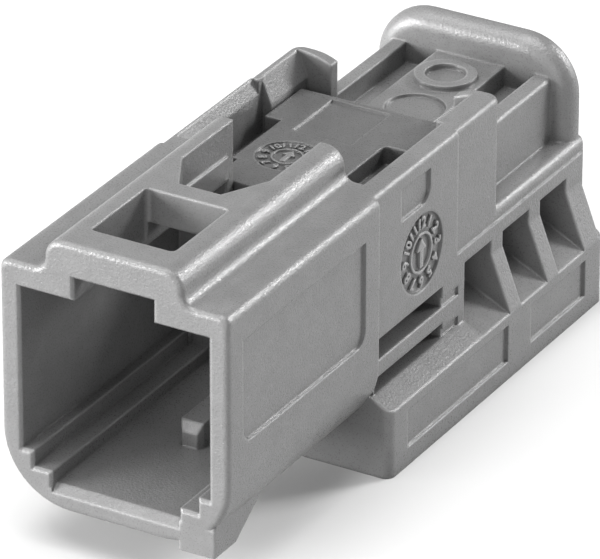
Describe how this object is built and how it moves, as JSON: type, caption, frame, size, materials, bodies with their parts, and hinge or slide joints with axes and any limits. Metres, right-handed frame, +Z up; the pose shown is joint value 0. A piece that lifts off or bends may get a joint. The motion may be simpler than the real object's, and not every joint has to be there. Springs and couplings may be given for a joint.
{
  "type": "coaxial connector housing",
  "caption": "Rectangular inline coaxial connector housing with shrouded mouth, latch window, press-down secondary lock and socket contacts in two rows.",
  "frame": {"origin": "middle of the box, at the level of the base", "axes": "+Z up, +Y from the mating mouth to the wire side, +X to the right when looking into the mouth"},
  "size_m": [0.0142, 0.0362, 0.0168],
  "materials": {
    "housing": "satin, finely sparked",
    "lock": "satin, finely sparked",
    "contact_shell": "plated",
    "contact_pin": "plated",
    "contact_sleeve": "tin plated",
    "insulator": "smooth"
  },
  "bodies": {
    "housing_body": {"housing": "housing", "outer_conductor_1": "contact_shell", "insulator_1": "insulator", "centre_contact_1": "contact_pin", "crimp_sleeve_1": "contact_sleeve", "outer_conductor_2": "contact_shell", "insulator_2": "insulator", "centre_contact_2": "contact_pin", "crimp_sleeve_2": "contact_sleeve", "outer_conductor_3": "contact_shell", "insulator_3": "insulator", "centre_contact_3": "contact_pin", "crimp_sleeve_3": "contact_sleeve", "outer_conductor_4": "contact_shell", "insulator_4": "insulator", "centre_contact_4": "contact_pin", "crimp_sleeve_4": "contact_sleeve"},
    "lock": {"secondary_lock": "lock"}
  },
  "joints": [
    {"name": "lock_slide", "type": "slide", "parent": "housing_body", "child": "lock", "axis": [0, 0, 1], "range_m": [0, 0.0015]}
  ]
}
